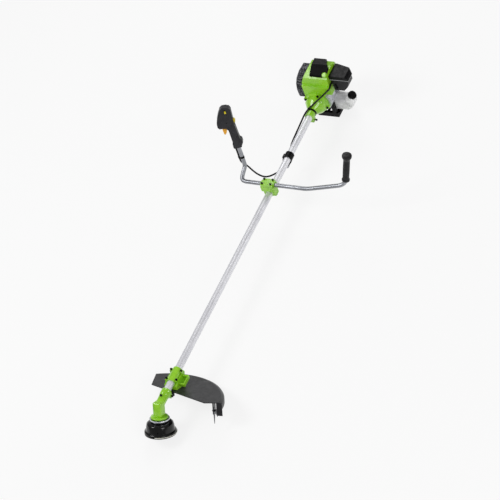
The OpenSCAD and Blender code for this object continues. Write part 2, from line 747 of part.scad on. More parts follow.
module connecting_rod() {
    top = throw + rod_len;
    color("#9aa0a5") placed() {
        translate([crank_x, 0, throw]) rotate([0, 90, 0]) cylinder(r = 6, h = 15.2, center = true);
        translate([crank_x - 6, 0, throw]) rotate([0, 90, 0]) ring(10.5, 6, 12);
        translate([crank_x - 3, -5, throw + 9.5]) cube([6, 10, rod_len - 16]);
        translate([crank_x - 5, 0, top]) rotate([0, 90, 0]) ring(8, 5, 10);
    }
}

module piston() {
    pin_z = throw + rod_len;
    color("#c2c5c8") placed() {
        difference() {
            translate([crank_x, 0, pin_z - 10]) cylinder(r = piston_d / 2 - run_gap, h = 30);
            translate([crank_x, 0, pin_z - 11]) cylinder(r = piston_d / 2 - 4, h = 26);
            for (z = [8, 13]) translate([crank_x, 0, pin_z + z])
                ring(piston_d / 2 + 1, piston_d / 2 - 1.6, 1.6);
        }
        for (x = [-piston_d / 2 + 3, 5.4]) difference() {
            translate([crank_x + x, 0, pin_z]) rotate([0, 90, 0]) cylinder(r = 7, h = piston_d / 2 - 8.4);
            translate([crank_x + x - 1, 0, pin_z]) rotate([0, 90, 0]) cylinder(r = 5, h = piston_d);
        }
        translate([crank_x, 0, pin_z]) rotate([0, 90, 0]) cylinder(r = 5, h = piston_d - 6, center = true);
        for (z = [8, 13]) translate([crank_x, 0, pin_z + z + 0.1])
            ring(piston_d / 2 - run_gap, piston_d / 2 - 1.6, 1.4);
    }
}

module cylinder_fin(z, w, d) {
    translate([1631, -w / 2, z]) round_box([d, w, 2], 8);
}

module cylinder_block() {
    head_z = throw + rod_len + 25;
    color("#9b9ea1") placed() difference() {
        union() {
            translate([1633, -30, 45]) cube([52, 60, 5]);
            translate([crank_x, 0, 48.2]) cylinder(r = 25, h = head_z - 36.2);
            for (k = [0 : 9]) cylinder_fin(54 + 6 * k, 66, 54);
            translate([1640, 20, 62]) cube([30, 16, 30]);
            translate([1640, -36, 66]) cube([30, 16, 30]);
        }
        translate([crank_x, 0, 40]) cylinder(r = piston_d / 2, h = head_z - 40);
        translate([crank_x, -10, 90]) cylinder(r = 7, h = 40);
        translate([crank_x, 10, 77]) rotate([-90, 0, 0]) cylinder(r = 8, h = 30);
        translate([crank_x, -40, 81]) rotate([-90, 0, 0]) cylinder(r = 8, h = 30);
    }
}

module spark_plug() {
    color("#e6e6e3") placed() translate([crank_x, -10, 0]) {
        translate([0, 0, 104]) cylinder(r = 7, h = 10.2);
        translate([0, 0, 114.2]) cylinder(r = 9.5, h = 9, $fn = 6);
        translate([0, 0, 123.2]) cylinder(r1 = 7, r2 = 5, h = 20);
        translate([0, 0, 143.2]) cylinder(r = 3, h = 6);
    }
}

// Ignition coil by the flywheel's rim, with its lead and the plug cap
module ignition_coil() {
    color("#19191b") placed() {
        translate([1596, 8, 51]) cube([14, 27.7, 18]);
        swept_tube(coil_lead, 3.5, 8);
        difference() {
            translate([crank_x, -10, 132]) cylinder(r = 10, h = 21);
            translate([crank_x, -10, 131]) cylinder(r = 7.2, h = 19);
        }
        translate([crank_x, -10, 153]) cylinder(r1 = 10, r2 = 6, h = 4);
    }
}

module muffler() {
    color("#6b6e71") placed() difference() {
        translate([1638, 36.1, 56]) cube([45, 36, 42]);
        translate([1640, 38.1, 58]) cube([41, 32, 38]);
        translate([crank_x, 30, 77]) rotate([-90, 0, 0]) cylinder(r = 8, h = 12);
        translate([1674, 56, 50]) cylinder(r = 5, h = 12);
    }
}

// A sheet of hexagonal vent holes, rows by columns, cut along +Z
module vents(rows, cols, pitch, r) {
    for (i = [0 : rows - 1], k = [0 : cols - 1])
        translate([i * pitch, (k + (i % 2) / 2) * pitch * 1.15, 0]) cylinder(r = r, h = 14, $fn = 6);
}

module muffler_cover() {
    color("#1e1e20") placed() difference() {
        translate([1580, 80, 0]) rotate([90, 0, 0]) linear_extrude(height = 30) polygon([
            [4, 14], [1.5, 36], [2, 56], [9, 80], [27, 98], [60, 108], [108, 104], [116, 92], [116, 10],
            [20, 6]
        ]);
        translate([1580, 77.5, 0]) rotate([90, 0, 0]) linear_extrude(height = 30) polygon([
            [6.6, 16], [4.1, 36], [4.6, 55.4], [11.2, 78.6], [28, 95.6], [60.2, 105.4], [106.6, 101.6],
            [113.4, 91], [113.4, 12.4], [20, 8.5]
        ]);
        scroll(1570, -0.6, 70);
        on_shaft(1688) cylinder(r = 62.6, h = 20);
        translate([1578, 54.5, 76]) rotate([0, 90, 0]) vents(9, 3, 7.2, 2.6);
        translate([1600, 84, 18]) rotate([90, 0, 0]) vents(10, 7, 8.6, 3.2);
        translate([1646, 57, 98]) vents(5, 2, 9, 3);
    }
}

// ---- Fuel and air ----
module carburettor() {
    color("#b9bcbf") placed() difference() {
        union() {
            translate([1640, -46, 66]) cube([30, 9.9, 30]);
            translate([1638, -72, 64]) cube([34, 26, 34]);
            translate([crank_x, -84, 81]) rotate([-90, 0, 0]) cylinder(r = 12, h = 14);
            translate([1642, -66, 54]) cube([26, 16, 10]);
            translate([1634, -82, 98]) cube([8, 14, 3]);
            translate([1638, -80, 92]) cube([3, 10, 8]);
        }
        translate([crank_x, -90, 81]) rotate([-90, 0, 0]) cylinder(r = 8, h = 60);
        translate([crank_x, -59, 60]) cylinder(r = 3, h = 50);
        translate([1630, -58, 59]) rotate([0, 90, 0]) cylinder(r = 5, h = 30);
    }
}

module throttle_lever() {
    color("#c2a14a") placed() {
        translate([crank_x, -59, 64]) cylinder(r = 3 - run_gap, h = 38);
        translate([crank_x - 6, -65, 102]) cube([26, 12, 2.5]);
    }
}

module choke_lever() {
    color("#2a2a2c") placed() difference() {
        union() {
            translate([1600, -96, 66]) rotate([0, 90, 0]) cylinder(r = 2.5 - run_gap, h = 8);
            translate([1597, -96, 66]) rotate([0, 90, 0]) cylinder(r = 7, h = 3.5);
            translate([1597, -99, 66]) cube([3, 6, 20]);
        }
        translate([1590, -96, 66]) rotate([0, 90, 0]) cylinder(r = 1, h = 12);
    }
}

module primer_bulb() {
    color("#d8d6c8") placed() translate([1634, -58, 59]) rotate([0, 90, 0]) {
        translate([0, 0, -5]) rotate_extrude() difference() {
            intersection() {
                translate([0, 5]) circle(r = 7.5);
                square([8, 12]);
            }
            translate([-9, 5]) square([18, 12]);
        }
        cylinder(r = 4.5, h = 12);
    }
}

module air_filter() {
    color("#5b6a4a") placed() translate([1611, -126, 54.8]) cube([39, 34, 53.2]);
}

// A box given by its outline seen along the shaft and its outline seen from above
module filter_body(side_outline, plan) {
    intersection() {
        translate([1590, 0, 0]) rotate([90, 0, 90]) linear_extrude(height = 100) polygon(side_outline);
        translate([0, 0, 40]) linear_extrude(height = 100) polygon(plan);
    }
}

module filter_base() {
    color("#3a3a3d") placed() difference() {
        filter_body([[-84, 52], [-128, 52], [-150, 76], [-161, 112], [-84, 112]],
            [[1602, -84], [1669, -84], [1672, -90], [1657, -147], [1638, -162], [1602, -162]]);
        filter_body([[-86.5, 54.5], [-127, 54.5], [-148, 77.3], [-158.5, 113], [-86.5, 113]],
            [[1604.5, -86], [1667, -86], [1669.3, -90.4], [1654.7, -145.6], [1637, -159.5],
                [1604.5, -159.5]]);
        translate([crank_x, -95, 81]) rotate([-90, 0, 0]) cylinder(r = 9, h = 20);
        translate([1600, -96, 66]) rotate([0, 90, 0]) cylinder(r = 2.5, h = 8);
    }
}

module filter_cover() {
    color("#1f1f21") placed() difference() {
        filter_body([[-79, 112.3], [-163, 112.3], [-165, 118], [-160, 128], [-150, 132], [-79, 132]],
            [[1599, -79], [1671, -79], [1675, -86], [1659, -148], [1639, -166], [1603, -166], [1599, -162]]);
        filter_body([[-81.5, 111], [-160.4, 111], [-162.3, 118], [-158, 126], [-149.5, 129.5],
                [-81.5, 129.5]],
            [[1601.5, -81], [1669.6, -81], [1672.4, -86.3], [1656.8, -146.8], [1638, -163.5], [1604, -163.5],
                [1601.5, -161]]);
    }
}

// Local +Z runs out of the tank's filler neck
module on_filler(s) {
    along([1659, -106, -42], [0, -0.7, 0.7]) translate([0, 0, s]) children();
}

module fuel_tank() {
    color("#e9ebea") placed() difference() {
        union() {
            translate([1632, -124, -106]) round_box([56, 184, 54], 14);
            difference() {
                union() {
                    translate([1632, -124, -106]) round_box([56, 184, 54], 14);
                    translate([1632, -124, -60]) round_box([56, 34, 26], 12);
                }
                on_filler(6.5) translate([-40, -40, 0]) cube([80, 80, 40]);
            }
            translate([1676, -100, -106]) round_box([40, 150, 38], 10);
            on_filler(0) cylinder(r = filler_r, h = 16);
        }
        difference() {
            union() {
                translate([1635, -121, -103]) round_box([50, 178, 48], 11);
                translate([1637, -118, -60]) round_box([46, 25, 23], 9);
            }
            on_filler(3.5) translate([-40, -40, 0]) cube([80, 80, 40]);
        }
        on_filler(0) cylinder(r = filler_r - 3, h = 20);
    }
}

module fuel_cap() {
    r = fuel_cap_d / 2;
    color("#1d1d1f") placed() on_filler(0) difference() {
        union() {
            translate([0, 0, 7]) cylinder(r = r - 1, h = 13);
            for (k = [0 : 11]) rotate([0, 0, 30 * k]) translate([r - 3, -2, 7]) cube([3, 4, 12]);
            translate([0, 0, 20]) cylinder(r1 = r - 1, r2 = r - 4, h = 2);
        }
        translate([0, 0, 6]) cylinder(r = filler_r + free_gap, h = 10.4);
    }
}

module engine_foot() {
    color("#1f1f21") placed() difference() {
        union() {
            translate([1612, -50, -rest_h]) cube([104, 96, 5]);
            translate([1612, -50, -rest_h]) cube([6, 96, 22]);
            for (y = [-50, 41]) translate([1618, y, -rest_h]) cube([90, 5, 14]);
            for (y = [-42, 24]) translate([1612, y, -rest_h]) cube([16, 14, 92]);
        }
        scroll(1570, 0, 58);
        for (y = [-20, 0, 20]) translate([1640, y - 5, -rest_h - 1]) cube([56, 10, 8]);
    }
}

// ---- Covers ----
function shroud_profile(t) = [
    [1584 + t, 40], [1584 + t, 126 - t / 2], [1612, 146 - t], [1645, 148 - t], [1676, 140 - t],
    [1683, 122 - t], [1683, 40]
];

// Plate that closes the front of the fan case round the clutch housing
module front_plate() {
    difference() {
        translate([1575, 0, 0]) rotate([90, 0, 90]) linear_extrude(height = 3.8) difference() {
            polygon([[47, 88], [-76, 88], [-76, 80], [-46, 36], [0, 30], [47, 10]]);
            circle(r = 51.9);
        }
        at_housing_bolts(1570) cylinder(r = 8.4, h = 20);
    }
    translate([1578, -76, 72]) cube([8, 123, 16]);
}

module engine_shroud() {
    t = 2.5;
    color("#7cb82f") placed() difference() {
        union() {
            translate([0, 47, 0]) rotate([90, 0, 0]) linear_extrude(height = 123) polygon(shroud_profile(0));
            front_plate();
        }
        translate([1, 47 - t, 0]) rotate([90, 0, 0]) linear_extrude(height = 123 - 2 * t)
            polygon(shroud_profile(t));
        translate([1580, 0, 0]) rotate([90, 0, 90]) linear_extrude(height = 130)
            polygon([[47.1, 96], [47.1, 160], [12, 160], [30, 132]]);
        scroll(1579, -0.3, 60);
        translate([1620, -80, 30]) cube([90, 20, 76]);
        translate([1628, 30, 30]) cube([90, 30, 84]);
        translate([1600, -44, 120]) cube([68, 45.4, 50]);
    }
}

// A shell part given by its side outline and its outline seen from above
module cover_body(side_outline, plan) {
    intersection() {
        translate([0, 10, 0]) rotate([90, 0, 0]) linear_extrude(height = 100) polygon(side_outline);
        translate([0, 0, 125]) linear_extrude(height = 60) polygon(plan);
    }
}

module top_cover() {
    color("#1c1c1e") placed() difference() {
        cover_body([[1588, 133], [1592, 141], [1632, 163], [1664, 164], [1672, 154], [1672, 142],
                [1645, 148.5], [1612, 146.5]],
            [[1580, 2], [1680, 2], [1680, -46], [1660, -50], [1640, -64], [1622, -75], [1580, -75]]);
        cover_body([[1606, 140], [1606, 145.5], [1633, 160.4], [1662, 161.2], [1669.3, 152.6], [1669.3, 140]],
            [[1580, 0.5], [1680, 0.5], [1680, -44.5], [1659.4, -48.6], [1639.2, -62.6], [1621.6, -73.5],
                [1580, -73.5]]);
        along([1599, -64.5, 137.2], [-0.58, 0, 0.81]) translate([0, 0, -10]) cylinder(r = 12, h = 60);
        translate([1580, -80, 125]) cube([21, 15.5, 40]);
    }
}

module cover_knob() {
    color("#8fce34") placed() along([1599, -64.5, 137.2], [-0.58, 0, 0.81]) {
        cylinder(r = 10, h = 8);
        translate([0, 0, 8]) cylinder(r1 = 10, r2 = 8, h = 2);
        for (k = [0 : 9]) rotate([0, 0, 36 * k]) translate([9, -1.2, 1]) cube([2.2, 2.4, 6]);
    }
}

// ---- Recoil starter ----
module starter_housing() {
    color("#232325") placed() difference() {
        union() {
            on_shaft(1691) cylinder(r = 62, h = 29);
            on_shaft(1720) cylinder(r1 = 46, r2 = 40, h = 18);
            translate([1697, 26, 52]) cube([14, 14, 16]);
        }
        difference() {
            on_shaft(1690) cylinder(r = 58.5, h = 27);
            at_starter_bolts(1690) cylinder(r = 5.5, h = 30);
        }
        on_shaft(1710) cylinder(r = 40, h = 25);
        at_starter_bolts(1690) cylinder(r = 2.5, h = 40);
        for (k = [0 : 11]) on_shaft(1730) rotate([0, 0, 30 * k]) translate([16, -2.5, 0]) cube([16, 5, 20]);
        translate([1704, 33, -50]) cylinder(r = 2.4, h = 130);
    }
    color("#232325") placed() on_shaft(1701) ring(6, 3, 34.5);
}

module starter_pulley() {
    color("#d7d8d6") placed() on_shaft(1701) difference() {
        union() {
            cylinder(r = 32, h = 1.6);
            cylinder(r = 29, h = 8);
            translate([0, 0, 6.4]) cylinder(r = 32, h = 1.6);
        }
        translate([0, 0, -1]) cylinder(r = 6 + run_gap, h = 12);
    }
}

module starter_handle() {
    color("#1d1d1f") placed() translate([1704, 33, 0]) {
        translate([0, 0, 68.4]) cylinder(r = 5, h = 6);
        translate([-14, -6, 74]) cube([28, 12, 10]);
        for (x = [-14, 14]) translate([x, 0, 74]) cylinder(r = 6, h = 10);
    }
    color("#e8e6dc") placed() translate([1704, 33, -44]) cylinder(r = 1.4, h = 113);
}

gearbox_housing();
ball_bearings();
bevel_pinion();
output_shaft();
flange_plate();
head_housing();
head_cover();
line_spool();
bump_knob();
cutting_line();
guard();
guard_bracket();
line_knife();
m5_screws();
main_tube();
drive_shaft();
shaft_bushes();
hanger_clamp();
hanger_ring();
clamp_base();
clamp_cap();
handlebar();
plain_grip();
throttle_grip_left();
throttle_grip_right();
trigger();
lockout_lever();
stop_switch();
throttle_cable();
cable_clips();
clutch_housing();
clutch_drum();
clutch_shoes();
flywheel();
fan_case();
crankcase();
crankshaft();
connecting_rod();
piston();
cylinder_block();
spark_plug();
ignition_coil();
muffler();
muffler_cover();
carburettor();
throttle_lever();
choke_lever();
primer_bulb();
air_filter();
filter_base();
filter_cover();
engine_shroud();
top_cover();
cover_knob();
fuel_tank();
fuel_cap();
engine_foot();
starter_housing();
starter_pulley();
starter_handle();
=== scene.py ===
"""String trimmer with a straight shaft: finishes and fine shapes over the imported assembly."""
import json
import math

import bmesh
import bpy
from mathutils import Matrix, Vector


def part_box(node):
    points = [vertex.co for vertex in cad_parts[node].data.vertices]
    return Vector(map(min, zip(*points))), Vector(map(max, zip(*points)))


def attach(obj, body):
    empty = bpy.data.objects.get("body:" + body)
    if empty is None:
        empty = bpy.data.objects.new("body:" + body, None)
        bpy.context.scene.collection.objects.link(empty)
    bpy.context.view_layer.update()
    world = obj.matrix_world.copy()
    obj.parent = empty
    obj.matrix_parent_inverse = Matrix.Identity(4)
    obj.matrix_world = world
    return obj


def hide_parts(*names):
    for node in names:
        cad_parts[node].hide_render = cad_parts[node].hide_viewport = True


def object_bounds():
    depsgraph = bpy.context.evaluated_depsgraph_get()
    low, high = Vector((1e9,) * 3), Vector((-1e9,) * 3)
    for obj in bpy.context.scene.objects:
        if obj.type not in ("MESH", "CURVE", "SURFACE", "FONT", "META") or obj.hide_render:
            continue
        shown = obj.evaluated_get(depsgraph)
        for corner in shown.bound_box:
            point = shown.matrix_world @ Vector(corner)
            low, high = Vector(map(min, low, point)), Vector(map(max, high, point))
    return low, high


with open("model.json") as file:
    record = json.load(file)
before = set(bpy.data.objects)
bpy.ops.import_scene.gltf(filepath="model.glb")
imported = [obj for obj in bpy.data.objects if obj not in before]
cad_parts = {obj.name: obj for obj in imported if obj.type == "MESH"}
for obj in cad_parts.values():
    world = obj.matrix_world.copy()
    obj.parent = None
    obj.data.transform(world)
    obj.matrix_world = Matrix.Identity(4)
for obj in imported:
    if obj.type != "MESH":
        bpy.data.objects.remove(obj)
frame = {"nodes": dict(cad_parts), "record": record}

cad_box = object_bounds()
nodes = frame["nodes"]
MM = 0.001

# ---- Places: everything is measured in mm from the apex of the bevel gears, X along the shaft ----
TUBE_START = 42
tube_lo, tube_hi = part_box("main_tube")
APEX = Vector((tube_lo.x - TUBE_START * MM, (tube_lo.y + tube_hi.y) / 2, (tube_lo.z + tube_hi.z) / 2))
HEAD_TILT = math.radians(30)


def at(x, y, z):
    """The place at these mm from the apex, in the scene's metres."""
    return APEX + Vector((x, y, z)) * MM


def head_frame(height):
    """The frame on the spindle's axis, at that height in mm above the apex."""
    tilted = Matrix.Translation(APEX) @ Matrix.Rotation(HEAD_TILT, 4, "Y")
    return tilted @ Matrix.Translation((0, 0, height * MM))


def along(point, direction):
    """A frame at a point given in mm, with its Z along the direction."""
    turn = Vector(direction).to_track_quat("Z", "X").to_matrix().to_4x4()
    return Matrix.Translation(at(*point)) @ turn


# ---- Camera ----
LENS_MM = 154.1
CAMERA_PLACE = (-3633, -3942, 5881)
CAMERA_BACK = (-0.530, -0.469, 0.707)
CAMERA_RIGHT = (0.390, -0.875, -0.288)


def place_camera():
    """A long lens from the left, ahead of the trimmer head and above it."""
    data = bpy.data.cameras.new("camera")
    data.lens = LENS_MM
    data.sensor_width = 36
    data.clip_end = 60
    camera = bpy.data.objects.new("camera", data)
    bpy.context.scene.collection.objects.link(camera)
    back = Vector(CAMERA_BACK).normalized()
    right = Vector(CAMERA_RIGHT)
    right = (right - back * right.dot(back)).normalized()
    up = back.cross(right)
    turn = Matrix((right, up, back)).transposed().to_4x4()
    camera.matrix_world = Matrix.Translation(at(*CAMERA_PLACE)) @ turn
    bpy.context.scene.camera = camera


place_camera()


# ---- Materials ----
def hex_colour(text):
    """An sRGB hex colour as linear RGBA."""
    parts = [int(text[i:i + 2], 16) / 255 for i in (1, 3, 5)]
    return tuple(c / 12.92 if c <= 0.04045 else ((c + 0.055) / 1.055) ** 2.4 for c in parts) + (1.0,)


def add(tree, kind, inputs=None, **settings):
    """A new node: settings are its own properties, inputs are socket values or links from other sockets."""
    node = tree.nodes.new("ShaderNode" + kind)
    for name, value in settings.items():
        setattr(node, name, value)
    for name, value in (inputs or {}).items():
        if isinstance(value, bpy.types.NodeSocket):
            tree.links.new(value, node.inputs[name])
        else:
            node.inputs[name].default_value = value
    return node


def new_material(name, **shader):
    """A material with a Principled shader; underscores in a setting's name stand for spaces."""
    material = bpy.data.materials.new(name)
    material.use_nodes = True
    tree = material.node_tree
    bsdf = tree.nodes["Principled BSDF"]
    for key, value in shader.items():
        bsdf.inputs[key.replace("_", " ").title().replace("Ior", "IOR")].default_value = value
    return material, tree, bsdf


def ramp(tree, factor, stops):
    """A colour ramp over (position, colour) stops."""
    node = add(tree, "ValToRGB", {"Fac": factor})
    elements = node.color_ramp.elements
    while len(elements) < len(stops):
        elements.new(0.5)
    for element, (position, colour) in zip(elements, stops):
        element.position = position
        element.color = colour if len(colour) == 4 else hex_colour(colour)
    return node.outputs["Color"]


def grey(value):
    """A grey as linear RGBA."""
    return (value, value, value, 1.0)


def drift_colour(tree, bsdf, place, colours, blotch_mm):
    """Base colour that drifts slowly between two tones."""
    blotch = add(tree, "TexNoise", {"Vector": place, "Scale": 1000 / blotch_mm, "Detail": 3.0})
    colour = ramp(tree, blotch.outputs["Fac"], [(0.36, colours[0]), (0.64, colours[1])])
    tree.links.new(colour, bsdf.inputs["Base Color"])


PATCH_SHARE = 0.4


def vary_gloss(tree, bsdf, place, rough, blotch_mm):
    """Roughness that wanders between two values, in smaller patches than the colour."""
    wear = add(tree, "TexNoise", {"Vector": place, "Scale": 1000 / (blotch_mm * PATCH_SHARE), "Detail": 5.0})
    gloss = ramp(tree, wear.outputs["Fac"], [(0.35, grey(rough[0])), (0.68, grey(rough[1]))])
    tree.links.new(gloss, bsdf.inputs["Roughness"])


def add_grain(tree, bsdf, place, grain_mm, depth_mm):
    """A fine random relief; gives the bump, so that a coarser one can follow it."""
    grain = add(tree, "TexNoise", {"Vector": place, "Scale": 1000 / grain_mm, "Detail": 2.0})
    bump = add(tree, "Bump", {"Height": grain.outputs["Fac"], "Distance": depth_mm * MM, "Strength": 1.0})
    tree.links.new(bump.outputs["Normal"], bsdf.inputs["Normal"])
    return bump


BLOTCH_MM = 35


def finish_surface(tree, bsdf, place, colours, rough, grain_mm, depth_mm, blotch_mm=BLOTCH_MM):
    """Slow colour drift, uneven gloss and a fine grain, which nearly every finish here has."""
    drift_colour(tree, bsdf, place, colours, blotch_mm)
    vary_gloss(tree, bsdf, place, rough, blotch_mm)
    return add_grain(tree, bsdf, place, grain_mm, depth_mm)


def object_place(tree):
    """Places on the piece itself, so a finish moves with its piece."""
    return add(tree, "TexCoord").outputs["Object"]


def green_enamel():
    """Lime enamel baked on die castings: a clear, wet gloss over a faint orange peel of about 2 mm."""
    material, tree, bsdf = new_material("green_enamel", coat_weight=0.5, coat_roughness=0.08, ior=1.5)
    finish_surface(tree, bsdf, object_place(tree), ("#86c51a", "#97d526"), (0.2, 0.32), 2.2, 0.005)
    return material


def green_abs():
    """Lime ABS, injection moulded in a polished tool: glossy, with slight flow marks and handling haze."""
    material, tree, bsdf = new_material("green_abs", ior=1.53)
    finish_surface(tree, bsdf, object_place(tree), ("#8bcb1e", "#9bd82b"), (0.24, 0.36), 1.2, 0.003, 60)
    return material


def moulded_plastic(name, colours, rough, spark_mm=0.9, depth_mm=0.03, gloss=0.2):
    """Matt nylon, polypropylene or PVC from a spark-eroded tool, and the clutch's pressed lining:
    an even grain, drawn coarser than the real 0.2 mm."""
    material, tree, bsdf = new_material(name, ior=1.5, specular_ior_level=gloss)
    finish_surface(tree, bsdf, object_place(tree), colours, rough, spark_mm, depth_mm)
    return material


CELL_MM = 8


def honeycomb_nylon():
    """Heat-proof nylon of the muffler's cover, moulded with 8 mm cells: pale webs of painted highlight
    between cells darkened with painted shade.
    """
    material, tree, bsdf = new_material("honeycomb_nylon", ior=1.5, specular_ior_level=0.15)
    place = object_place(tree)
    vary_gloss(tree, bsdf, place, (0.35, 0.5), BLOTCH_MM)
    bump = add_grain(tree, bsdf, place, 0.9, 0.02)
    cells = add(tree, "TexVoronoi", {"Vector": place, "Scale": 1000 / CELL_MM, "Randomness": 0.4},
                feature="DISTANCE_TO_EDGE")
    # Painted highlight on the webs and painted shade in the cells: grey near a cell's edge, near black inside
    # it
    lit_webs_shaded_cells = ramp(tree, cells.outputs["Distance"], [(0.05, "#6c6c72"), (0.11, "#020203")])
    tree.links.new(lit_webs_shaded_cells, bsdf.inputs["Base Color"])
    dents = add(tree, "Bump", {"Height": cells.outputs["Distance"], "Distance": -0.002, "Strength": 0.8,
                               "Normal": bump.outputs["Normal"]})
    tree.links.new(dents.outputs["Normal"], bsdf.inputs["Normal"])
    return material


# Painted highlight along the lid's lower edge: full up to the first height above the edge, gone by the
# second, in mm
HIGHLIGHT_FULL_MM, HIGHLIGHT_END_MM = 1.6, 3.4


def nylon_with_edge_highlight(name, colours, edge_z):
    """Nylon cover with a painted highlight: a pale band along its lower edge, which runs at the height
    edge_z.
    """
    material, tree, bsdf = new_material(name, ior=1.5, specular_ior_level=0.1)
    place = object_place(tree)
    finish_surface(tree, bsdf, place, colours, (0.25, 0.42), 1.2, 0.02)
    height = add(tree, "SeparateXYZ", {"Vector": add(tree, "NewGeometry").outputs["Position"]}).outputs["Z"]
    rise = add(tree, "Math", {0: height, 1: edge_z}, operation="SUBTRACT").outputs[0]
    near = add(tree, "MapRange", {"Value": rise, "From Min": HIGHLIGHT_FULL_MM * MM, "From Max": HIGHLIGHT_END_MM * MM,
                                  "To Min": 1.0, "To Max": 0.0})
    base = bsdf.inputs["Base Color"].links[0].from_socket
    # Pale grey of the painted highlight, mixed into the base colour near the lower edge
    painted_highlight = hex_colour("#a9abad")
    mixed = add(tree, "Mix", {"Factor": near.outputs[0], 6: base, 7: painted_highlight}, data_type="RGBA")
    tree.links.new(mixed.outputs[2], bsdf.inputs["Base Color"])
    return material


def polished_nylon():
    """Black nylon of the line head, moulded smooth: deep gloss with scuffs from grass and gravel."""
    material, tree, bsdf = new_material("polished_nylon", ior=1.53, specular_ior_level=0.35)
    place = object_place(tree)
    finish_surface(tree, bsdf, place, ("#030304", "#080809"), (0.1, 0.22), 1.6, 0.008)
    return material


PEBBLE_MM = 1.5


def soft_rubber():
    """Vulcanised rubber of the plain grip: dull, slightly dusty black with a leathery pebble of 1.5 mm."""
    material, tree, bsdf = new_material("soft_rubber", ior=1.5, specular_ior_level=0.35)
    place = object_place(tree)
    bump = finish_surface(tree, bsdf, place, ("#0e0e0f", "#161618"), (0.4, 0.55), 0.8, 0.01)
    pebble = add(tree, "TexVoronoi", {"Vector": place, "Scale": 1000 / PEBBLE_MM}, feature="F1")
    pebble_bump = add(tree, "Bump", {"Height": pebble.outputs["Distance"], "Distance": 0.06 * MM,
                                     "Strength": 0.6, "Normal": bump.outputs["Normal"]})
    tree.links.new(pebble_bump.outputs["Normal"], bsdf.inputs["Normal"])
    return material


LINES_PER_METRE = 500.0


def drawn_aluminium(name, colours, rough, axis_scale, metallic=1.0):
    """Drawn and anodised aluminium tube: bright, with hair-fine lines along its length from the die."""
    material, tree, bsdf = new_material(name, metallic=metallic)
    place = object_place(tree)
    stretched = add(tree, "Mapping", {"Vector": place, "Scale": axis_scale}).outputs["Vector"]
    drift_colour(tree, bsdf, place, colours, 90)
    vary_gloss(tree, bsdf, place, rough, 90)
    lines = add(tree, "TexNoise", {"Vector": stretched, "Scale": LINES_PER_METRE, "Detail": 2.0})
    bump = add(tree, "Bump", {"Height": lines.outputs["Fac"], "Distance": 0.003 * MM, "Strength": 0.15})
    tree.links.new(bump.outputs["Normal"], bsdf.inputs["Normal"])
    return material


def machined_steel(name, colours, rough=(0.25, 0.4)):
    """Turned or ground steel: cool grey with fine tool lines and a thin film of oil."""
    material, tree, bsdf = new_material(name, metallic=1.0)
    finish_surface(tree, bsdf, object_place(tree), colours, rough, 0.5, 0.01, 20)
    return material


def bright_zinc():
    """Zinc-plated pressing: bright silver with a soft crystalline mottle."""
    material, tree, bsdf = new_material("bright_zinc", metallic=1.0)
    place = object_place(tree)
    finish_surface(tree, bsdf, place, ("#b9bcc2", "#d5d8de"), (0.16, 0.3), 0.7, 0.01, 12)
    return material


def blasted_aluminium():
    """Die-cast aluminium, bead blasted: pale matt grey, with a grain of about 0.8 mm and darker hollows."""
    material, tree, bsdf = new_material("blasted_aluminium", metallic=0.6)
    finish_surface(tree, bsdf, object_place(tree), ("#b6b8be", "#cdcfd4"), (0.4, 0.58), 0.8, 0.04, 18)
    return material


def blued_screws():
    """Black-oxide socket screws: dark, oily steel."""
    material, tree, bsdf = new_material("black_oxide", metallic=0.9)
    finish_surface(tree, bsdf, object_place(tree), ("#1d1e20", "#2c2d30"), (0.25, 0.42), 0.5, 0.01, 8)
    return material


def spring_steel():
    """Hardened strip of the line knife: dark blue-grey, drifting lighter where it has worn."""
    material, tree, bsdf = new_material("hardened_strip", metallic=0.9)
    finish_surface(tree, bsdf, object_place(tree), ("#2e3135", "#4a4e54"), (0.3, 0.45), 0.6, 0.01, 10)
    return material


def waxy_plastic(name, colours):
    """Coloured plastic of the controls and the cutting line: smooth and slightly waxy."""
    material, tree, bsdf = new_material(name, ior=1.53, subsurface_weight=0.05)
    finish_surface(tree, bsdf, object_place(tree), colours, (0.28, 0.42), 0.8, 0.01, 15)
    return material


def natural_polyethylene():
    """Blow-moulded natural polyethylene of the tank: milky, light passing a little way in, softly dimpled."""
    material, tree, bsdf = new_material("natural_polyethylene", ior=1.5, subsurface_weight=0.5,
                                        subsurface_scale=6 * MM, subsurface_radius=(1, 1, 1))
    finish_surface(tree, bsdf, object_place(tree), ("#f4f5f5", "#fbfbfb"), (0.3, 0.45), 3.0, 0.02, 45)
    return material


def sooty_steel():
    """Aluminised sheet of the muffler: dull grey with heat stain."""
    material, tree, bsdf = new_material("aluminised_sheet", metallic=0.7)
    finish_surface(tree, bsdf, object_place(tree), ("#3b3a38", "#57534d"), (0.5, 0.7), 0.8, 0.03, 14)
    return material


PORES_PER_METRE = 700.0


def open_foam():
    """Oiled open-cell foam of the air filter: pores of about 1.4 mm."""
    material, tree, bsdf = new_material("open_foam")
    place = object_place(tree)
    cells = add(tree, "TexVoronoi", {"Vector": place, "Scale": PORES_PER_METRE}, feature="F1")
    pores = ramp(tree, cells.outputs["Distance"], [(0.1, "#23291c"), (0.7, "#5b6a4a")])
    tree.links.new(pores, bsdf.inputs["Base Color"])
    bsdf.inputs["Roughness"].default_value = 0.9
    bump = add(tree, "Bump", {"Height": cells.outputs["Distance"], "Distance": 0.0005, "Strength": 0.8})
    tree.links.new(bump.outputs["Normal"], bsdf.inputs["Normal"])
    return material


def glazed_ceramic():
    """Glazed alumina of the spark plug: white and glassy."""
    material, tree, bsdf = new_material("glazed_alumina", ior=1.6, coat_weight=0.6)
    finish_surface(tree, bsdf, object_place(tree), ("#e6e4dd", "#f2f0ea"), (0.1, 0.18), 1.0, 0.003, 10)
    return material


def sintered_bronze():
    """Sintered bronze of the bushes, and the throttle lever's brass: warm brown with fine pores."""
    material, tree, bsdf = new_material("sintered_bronze", metallic=1.0)
    finish_surface(tree, bsdf, object_place(tree), ("#7c5e2e", "#a17f44"), (0.35, 0.5), 0.5, 0.02, 10)
    return material


